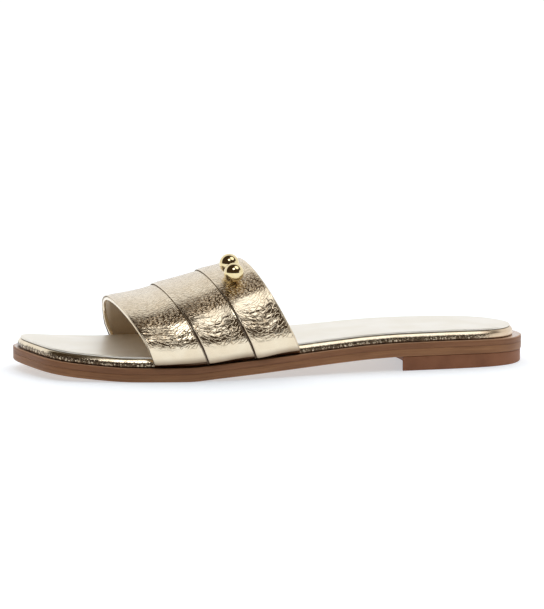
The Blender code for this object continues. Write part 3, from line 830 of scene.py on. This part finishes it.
# Each crease: its pleat, height, start and end as shares of the pleat, rise, bow, depth and width.
CREASES = (
    (0, 10.5, 0.08, 0.62, -0.6, 0.5, 0.30, 0.8),
    (0, 12.4, 0.30, 0.92, 0.4, 0.6, 0.34, 0.8),
    (0, 13.8, 0.04, 0.44, -1.4, 0.4, 0.30, 0.7),
    (0, 15.6, 0.36, 0.95, -0.4, -0.5, 0.32, 0.8),
    (0, 17.0, 0.05, 0.58, -2.2, 0.5, 0.28, 0.7),
    (0, 19.2, 0.42, 0.90, -1.6, 0.5, 0.24, 0.7),
    (0, 20.8, 0.06, 0.46, -2.4, -0.4, 0.22, 0.7),
    (0, 24.5, 0.30, 0.85, -2.0, 0.5, 0.16, 0.6),
    (0, 33.5, 0.10, 0.55, 1.6, 0.4, 0.16, 0.6),
    (0, 37.0, 0.35, 0.88, 1.8, -0.4, 0.16, 0.6),
    (1, 9.8, 0.10, 0.70, 0.5, 0.5, 0.30, 0.8),
    (1, 11.9, 0.28, 0.90, 0.8, 0.5, 0.32, 0.8),
    (1, 13.6, 0.08, 0.52, -1.0, 0.5, 0.28, 0.7),
    (1, 15.8, 0.34, 0.92, -1.2, 0.4, 0.30, 0.7),
    (1, 18.1, 0.10, 0.60, -1.8, 0.5, 0.24, 0.7),
    (1, 22.0, 0.40, 0.90, -1.6, 0.4, 0.18, 0.6),
    (1, 30.5, 0.12, 0.60, 1.4, 0.4, 0.16, 0.6),
    (2, 9.2, 0.10, 0.66, 0.4, 0.5, 0.28, 0.8),
    (2, 11.4, 0.30, 0.92, 0.6, 0.5, 0.30, 0.8),
    (2, 13.2, 0.06, 0.50, -1.0, 0.4, 0.26, 0.7),
    (2, 15.5, 0.36, 0.90, -1.2, 0.5, 0.24, 0.7),
    (2, 19.0, 0.14, 0.62, -1.4, 0.4, 0.18, 0.6),
    (2, 26.0, 0.30, 0.80, 1.0, 0.4, 0.14, 0.6),
)
CREASE_TAPER = 0.25
CREASE_LIPS = 1.4
CREASE_SHARE = 0.7
CREASE_HANG = 0.5
CREASE_WAVER = 0.9
CREASE_WAVER_SIZE = (5.0, 6.0)
LOOSENESS = (
    (0.0, 0.0), (7.0, 0.0), (8.0, 0.5), (9.0, 1.0), (19.0, 1.0), (24.0, 0.25), (28.5, 0.2), (32.5, 0.9),
    (38.0, 0.9), (45.0, 0.45), (80.0, 0.35),
)
WRINKLE_DEPTH = 0.22
WRINKLE_BEND = 1.6
WRINKLE_SLIDE = 3.0
WRINKLE_BEND_SIZE = (7.0, 10.0)
LONG_WRINKLES = (1.05, 6.0)
SHORT_WRINKLES = (0.8, 4.5)
SHORT_WRINKLE_BEND = 0.7
BAND_RISE = (1.6, 1.0, 1.0)
BAND_FADE = (12.0, 26.0)
BAND_TROUGH = 0.75
TROUGH_HEIGHTS = (10.5, 16.0, 30.0)
ZONE_START = (10.0, 22.0)
FOLD_CLEAR = (0.3, 1.2)
FOLD_CLEAR_SHARE = 0.5
TUCK_CLEAR_SHARE = 0.3
RIM_CALM = (20.0, 24.0)
SKIN_LIFT = STRAP_WALL - 0.01
HANG_PLACE = 0.6
HANG_BEND = 5.0
HANG_SLOPES = (0.62, 0.78)
CRACKLE_REACH = 1.6
# How far past each fold the dark painted shade reaches: wider low on the strap.
FOLD_SHADE_PAST = 0.7
FOLD_SHADE_LESS = 0.85
FOLD_SHADE_HEIGHTS = (5.0, 24.0)
FOLD_SHADE_BLUR = 0.3


def placed_creases(height, place):
    """The main creases: soft troughs with raised lips, each along a bowed line across one pleat."""
    total = np.zeros_like(height)
    for pleat, level, start, end, rise, bow, depth, width in CREASES:
        t = (place - pleat - start) / (end - start)
        line = level + rise * t + bow * 4 * t * (1 - t)
        off = (height - line) / width
        taper = step_between(0, CREASE_TAPER, t) * (1 - step_between(1 - CREASE_TAPER, 1, t))
        total += depth * taper * (CREASE_LIPS * off**2 - 1) * np.exp(-(off**2))
    return total


def loose_wrinkles(along, across):
    """Fine wrinkles: the size of two noises stretched across the strap and bent by slower ones."""
    bend = WRINKLE_BEND * fold_noise(along, across, WRINKLE_BEND_SIZE, 11)
    across = across + WRINKLE_SLIDE * fold_noise(along, across, WRINKLE_BEND_SIZE, 12)
    long = np.abs(fold_noise(along + bend, across, LONG_WRINKLES, 13))
    short = np.abs(fold_noise(along + SHORT_WRINKLE_BEND * bend, across, SHORT_WRINKLES, 14))
    return 0.65 * long + 0.35 * short


def clear_of_folds(place, pleat, share, height):
    """0 at the folds and the strap's edges, and 1 a little way off, further off high on the rear edge."""
    to_fold = np.abs(place - np.round(place)) * PLEAT_WIDTH
    behind = np.where(pleat > 0, TUCK_CLEAR_SHARE, 1 + step_between(*RIM_CALM, height))
    return step_between(*FOLD_CLEAR, to_fold / np.where(share > 0.5, FOLD_CLEAR_SHARE, behind))


def creased_strap():
    """The strap's skin with its wrinkles and creases, its hide map and its fold map.

    The tight band at the foot rises towards each fold, and heights that creases go by are counted from
    it. Wrinkles hang between the folds like a cloth, along hyperbolas. The hide map holds lengths along
    and across the leather and 1 where it is tight. The fold map holds 1 where the folds get dark painted
    shade, the height, and the height scaled to the rear edge's.
    """
    profile_place, lift, past = strap_profile()
    inner, outwards, skin = smooth_strap(profile_place, lift)
    step = np.linalg.norm(np.diff(inner, axis=1), axis=2).mean(0)
    length = np.concatenate([[0.0], np.cumsum(step)])
    length -= length[FOOT_COLUMNS]
    from_foot = np.minimum(length, length[-1 - FOOT_COLUMNS] - length)
    walk = np.concatenate([[0.0], np.cumsum(np.abs(np.diff(profile_place)) * PLEAT_WIDTH)])
    along, across = np.meshgrid(length, walk)
    height, place = np.meshgrid(from_foot, profile_place)
    pleat = np.clip(np.floor(place), 0, PLEATS - 1).astype(int)
    share = place - pleat
    outside = (lift >= SKIN_LIFT)[:, None]
    clear = clear_of_folds(place, pleat, share, height) * outside

    free_height = height - np.array(BAND_RISE)[pleat] * share * (1 - step_between(*BAND_FADE, height))
    taller = strap_value("rise", 0.0) / strap_value("rise", np.clip(place, 0, PLEATS))
    zone_height = free_height * (1 + (taller - 1) * step_between(*ZONE_START, free_height))
    loose = np.interp(zone_height, *np.array(LOOSENESS).T) * clear

    from_lowest = (share - HANG_PLACE) * PLEAT_WIDTH / HANG_BEND
    hang = HANG_BEND * (np.sqrt(1 + from_lowest**2) - 1) * np.where(from_lowest < 0, *HANG_SLOPES)
    flow = np.where(along > height + 0.5, along + hang, along - hang)
    waver = CREASE_WAVER * fold_noise(along, across, CREASE_WAVER_SIZE, 17)
    creases = placed_creases(free_height - CREASE_HANG * hang + waver, place)
    start, deepest, stop = TROUGH_HEIGHTS
    sunk = step_between(start, deepest, free_height) - step_between(deepest, stop, free_height)
    relief = WRINKLE_DEPTH * loose * loose_wrinkles(flow, across)
    relief += CREASE_SHARE * clear * creases - BAND_TROUGH * sunk * outside
    skin += outwards * relief[..., None]

    hide = np.stack([flow, across, 1 - np.clip(loose * CRACKLE_REACH, 0, 1)], -1)
    # Dark painted shade on the folds' lee sides and the start of the next pleat.
    shade_reach = FOLD_SHADE_PAST - FOLD_SHADE_LESS * step_between(*FOLD_SHADE_HEIGHTS, height)
    fold_shade = 1 - step_between(shade_reach, shade_reach + FOLD_SHADE_BLUR, past[:, None])
    return skin, hide, np.stack([fold_shade, height, zone_height], -1)


SHORT_ZONE = (26.0, 33.0)
SHORT_ZONE_END = (38.0, 47.0)
# Brown over the lowest millimetres of the strap, where it turns under: painted shade.
FOOT_SHADE_HEIGHTS = (0.0, 4.0)
FOOT_SHADE_BROWN = (0.16, 0.088, 0.042, 1.0)
# Dark brown for the folds: painted shade.
FOLD_SHADE_BROWN = (0.110, 0.064, 0.034, 1.0)
REAR_RIM = (1.2, 2.2)


def strap_gold(wire):
    """Crackled foil with painted shade: brown over the strap's foot, and dark brown, dull and less metallic
    on the folds; dull on the rear rim.
    """
    hide, fold = mapped(wire, "hide"), mapped(wire, "fold")
    flat = hide.node("CombineXYZ", {}, {0: hide.part(0), 1: hide.part(1)})
    fold_shade, height, zone = (fold.part(axis) for axis in range(3))
    pebbled = zone.ramp(*SHORT_ZONE) * (1.0 - 0.7 * zone.ramp(*SHORT_ZONE_END))
    gold = crackled_gold(wire, flat, hide.part(2), pebbled)
    # Painted shade at the strap's foot.
    foot_shade = 1.0 - height.ramp(*FOOT_SHADE_HEIGHTS)
    foot_shaded = (0.85 * foot_shade).colour(gold["Base Color"], FOOT_SHADE_BROWN)
    rim = 1.0 - hide.part(1).ramp(*REAR_RIM)
    # Painted shade on the folds, laid over the painted shade at the foot.
    gold["Base Color"] = fold_shade.colour(foot_shaded, FOLD_SHADE_BROWN)
    gold["Metallic"] = 1.0 - 0.8 * fold_shade
    gold["Roughness"] = gold["Roughness"] + 0.35 * fold_shade + 0.3 * rim
    return gold


strap_points, strap_hide, strap_fold = creased_strap()
strap_finish = finish("crackled_gold_strap", GOLD_FOIL, strap_gold)
strap_maps = {"hide": [strap_hide], "fold": [strap_fold]}
strap = surface("strap_skin", [strap_points], strap_finish, maps=strap_maps, ends=True)
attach(strap, "root")
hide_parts("upper")

# Lining
# A thin sheet of pale leather with a fine grain, cemented to the inside of the strap. It is trimmed a
# little short of the strap's turned edges.
LINING_ROWS = 26
LINING_THINNING = 3
LINING_SHEET = 0.3
LINING_REAR = 1.3
LINING_FRONT = 1.78
LINING_FOOT = 3.2
LINING_CREAM = ((0.60, 0.47, 0.32, 1.0), (0.70, 0.57, 0.41, 1.0))
LINING_GRAIN = 0.00005


def lining_points():
    """A closed thin sheet just inside the strap's inner face, from one foot over the crown to the other."""
    columns = [row[::LINING_THINNING] for row in strap_columns()]
    low, off, climb, reach = (row[columns[0] > LINING_FOOT] for row in columns)
    reach[-1], climb[-1] = 0.0, 1.0
    place = np.linspace(LINING_REAR / PLEAT_WIDTH, PLEATS - LINING_FRONT / PLEAT_WIDTH, LINING_ROWS)
    face = strap_path(low, off, climb, reach, place)
    return np.concatenate([face, (face + outwards_of(face) * LINING_SHEET)[::-1]])


def lining_leather(wire):
    """Pale leather: fine grain on soft clouds."""
    place = in_place(wire)
    grain = place.noise(1.4, 3.0, 0.6)
    cloud = place.noise(0.05)
    return {
        "Base Color": (0.6 * cloud + 0.4 * grain).ramp(*NOISE_RANGE).colour(*LINING_CREAM),
        "Roughness": 0.5 + 0.15 * grain,
        "Normal": grain.bump(LINING_GRAIN),
    }


lining_finish = finish("pale_lining_leather", {"Specular IOR Level": 0.35}, lining_leather)
lining = surface("strap_lining", [lining_points()], lining_finish, ends=True)
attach(lining, "root")

# Sock
# A thin sheet of smooth, very pale gold leather under the foot. It is cut a little smaller than the insole
# and cemented on top of it, inside its rounded rim.
SOCK_INSET = 1.5
SOCK_THICKNESS = 0.8
SOCK_EDGE_RADII = (0.1, 0.45)
SOCK_GOLD = ((0.88, 0.84, 0.745, 1.0), (0.93, 0.90, 0.83, 1.0))
SOCK_GRAIN = 0.00004


def sock_base(x):
    """Height of the sock's underside, a cement line above the insole."""
    return insole_base(x) + INSOLE_THICKNESS + LAYER_GAP


def sock_ledge(x):
    """How far the sock's edge lies inside the sole's."""
    return ledge_at(x) + SOCK_INSET


def sock_gold(wire):
    """Pale gold foil, cloudy and nearly smooth."""
    place = in_place(wire)
    grain = place.noise(1.6, 3.0, 0.6)
    return {
        "Base Color": place.noise(0.05).ramp(*NOISE_RANGE).colour(*SOCK_GOLD),
        "Roughness": 0.36 + 0.1 * grain,
        "Normal": grain.bump(SOCK_GRAIN),
    }


sock_side = rounded_side(SOCK_THICKNESS, *SOCK_EDGE_RADII)
sock_points = layer_points(sock_side, sock_base, SOLE_STATIONS, SOLE_ACROSS, sock_ledge)
sock_finish = finish("pale_gold_sock", {"Metallic": 0.75, "Coat Weight": 0.1}, sock_gold)
sock = surface("sock_sheet", [sock_points], sock_finish)
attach(sock, "root")
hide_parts("insole_cover")

# Balls
# Turned and polished balls of gold-coloured metal, side by side on the rear pleat's outer shoulder. Each is
# riveted through the leather.
BALL_NODES = ("bead_1", "bead_2")
BALL_ROWS = 48
BALL_COLUMNS = 96
BALL_GOLD = ((0.80, 0.66, 0.36, 1.0), (0.85, 0.72, 0.44, 1.0))


def ball_points(centre, radius):
    """A turned ball: half circles from pole to pole, carried round the upright axis."""
    tilt = np.linspace(0, math.pi, BALL_ROWS)[:, None]
    turn = np.linspace(0, 2 * math.pi, BALL_COLUMNS, endpoint=False)[None, :]
    round_it = (np.sin(tilt) * np.cos(turn), np.sin(tilt) * np.sin(turn), np.cos(tilt) + 0 * turn)
    return centre + radius * np.stack(round_it, -1) - SHOE_ORIGIN


def polished(wire):
    """Polished metal with a faint haze."""
    haze = in_place(wire).noise(0.5, 3.0, 0.6)
    return {
        "Base Color": haze.ramp(*NOISE_RANGE).colour(*BALL_GOLD),
        "Roughness": 0.04 + 0.05 * haze,
    }


ball_metal = finish("polished_gold_metal", {"Metallic": 1.0}, polished)
for number, node in enumerate(BALL_NODES, 1):
    low, high = (np.array(corner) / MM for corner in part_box(node))
    grid = ball_points((low + high) / 2, (high - low).max() / 2)
    ball = surface(f"ball_{number}", [grid], ball_metal, closed=(False, True))
    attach(ball, "root")
    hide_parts(node)

# Studio
# A plain pale floor under wide, soft light. The camera stands at the photograph's angle to the shoe, far
# off with a long lens.
CAMERA_TURN = math.radians(14.96)
CAMERA_RISE = math.radians(8.354)
CAMERA_DISTANCE = 1.746
CAMERA_FACES = (60.0, 0.0, 10.0)
CAMERA_CLIP = 100.0
VIEW_HEIGHT = 0.300
SENSOR = 36.0
AIM = (0.0, 0.0, 0.030)
FLOOR_HALF = 12.0
FLOOR_GREY = ((0.61, 0.61, 0.61, 1.0), (0.63, 0.63, 0.63, 1.0))
FLOOR_GLOW = {"Emission Color": (0.86, 0.93, 1.0, 1.0), "Emission Strength": 0.485}
LAMP_AIM = (0.0, 0.0, 0.02)
KEY_RISE = math.radians(52.0)
KEY_DISTANCE = 1.3
KEY_POWER = 1.8
KEY_SIZE = 0.52
CEILING_BEHIND = 1.6
CEILING_HEIGHT = 2.4
CEILING_POWER = 2.1
CEILING_SPREAD = math.radians(110.0)
SOFTBOX = (0.16, 0.47, 0.868)
SOFTBOX_EDGE = (0.925, 0.965)
SOFTBOX_EXTRA = 0.6
WALL_EDGE = (111.0, 124.0)
PANEL_EDGE = (0.88, 0.96)
ROOM_BROWN = (0.050, 0.034, 0.020, 1.0)
ROOM_WHITE = (0.98, 0.98, 0.98, 1.0)

upright = np.array([0.0, 0.0, 1.0])
front = np.array([math.sin(CAMERA_TURN), math.cos(CAMERA_TURN), 0.0])
right = np.array([-front[1], front[0], 0.0])


def pale_floor(wire):
    """Pale grey with broad, faint clouds."""
    return {"Base Color": in_place(wire).noise(0.004).colour(*FLOOR_GREY)}


corners = FLOOR_HALF * np.array([[(x, y, 0.0) for x in (-1.0, 1.0)] for y in (-1.0, 1.0)])
floor_finish = finish("pale_floor", {"Roughness": 0.8, "Specular IOR Level": 0.1, **FLOOR_GLOW}, pale_floor)
floor = surface("floor", [corners / MM - SHOE_ORIGIN], floor_finish, closed=(False, False))


def aim(thing, place, target):
    """Puts a lamp or camera at a place, looking at a target with its own y upwards."""
    thing.location = place
    thing.rotation_mode = "QUATERNION"
    thing.rotation_quaternion = Vector(np.array(target) - np.array(place)).to_track_quat("-Z", "Y")
    bpy.context.scene.collection.objects.link(thing)
    return thing


def lamp(name, kind, place, power, **settings):
    """A lamp of a kind at a place, looking at the shoe."""
    light = bpy.data.lights.new(name, kind)
    light.energy = power
    for setting, value in settings.items():
        setattr(light, setting, value)
    return aim(bpy.data.objects.new(name, light), place, LAMP_AIM)


key_place = KEY_DISTANCE * (front * math.cos(KEY_RISE) + upright * math.sin(KEY_RISE))
lamp("key_softbox", "AREA", key_place, KEY_POWER, shape="DISK", size=KEY_SIZE)
ceiling_place = upright * CEILING_HEIGHT - front * CEILING_BEHIND
ceiling = lamp("ceiling", "SUN", ceiling_place, CEILING_POWER, angle=CEILING_SPREAD)
ceiling.visible_glossy = False


def studio_walls(wire):
    """Light from around: a softbox overhead, a white wall behind, a panel by the heel and a dim brown room.

    The wall starts at an angle counted over the top, from 0 on the camera's side to 180 behind the shoe.
    """
    towards = wire.node("TexCoord", output="Generated")

    def along(axis):
        """How far the direction points along an axis."""
        turned = {0: towards, 1: tuple(axis)}
        return wire.node("VectorMath", {"operation": "DOT_PRODUCT"}, turned, output="Value")

    ahead, beside, above = SOFTBOX
    overhead = along(ahead * front + beside * right + above * upright).ramp(*SOFTBOX_EDGE)
    angle = wire.math("ARCTAN2", towards.part(2), along(front)) * math.degrees(1.0)
    wall = angle.ramp(*WALL_EDGE)
    panel = along(right).ramp(*PANEL_EDGE)
    lit = overhead + wire.math("MAXIMUM", wall, panel)
    return lit.colour(ROOM_BROWN, ROOM_WHITE), 1.0 + SOFTBOX_EXTRA * overhead


world = bpy.data.worlds.new("studio")
world.use_nodes = True
bpy.context.scene.world = world
background = world.node_tree.nodes["Background"]
for socket, wire in zip(("Color", "Strength"), studio_walls(Wire(world.node_tree))):
    world.node_tree.links.new(wire.socket, background.inputs[socket])

camera = bpy.data.cameras.new("camera")
camera.sensor_width = SENSOR
camera.lens = SENSOR * CAMERA_DISTANCE / VIEW_HEIGHT
camera.clip_end = CAMERA_CLIP
back = front * math.cos(CAMERA_RISE) + upright * math.sin(CAMERA_RISE)
camera_place = (np.array(CAMERA_FACES) + SHOE_ORIGIN) * MM + back * CAMERA_DISTANCE
bpy.context.scene.camera = aim(bpy.data.objects.new("camera", camera), camera_place, AIM)
bpy.context.scene.view_settings.view_transform = "Standard"
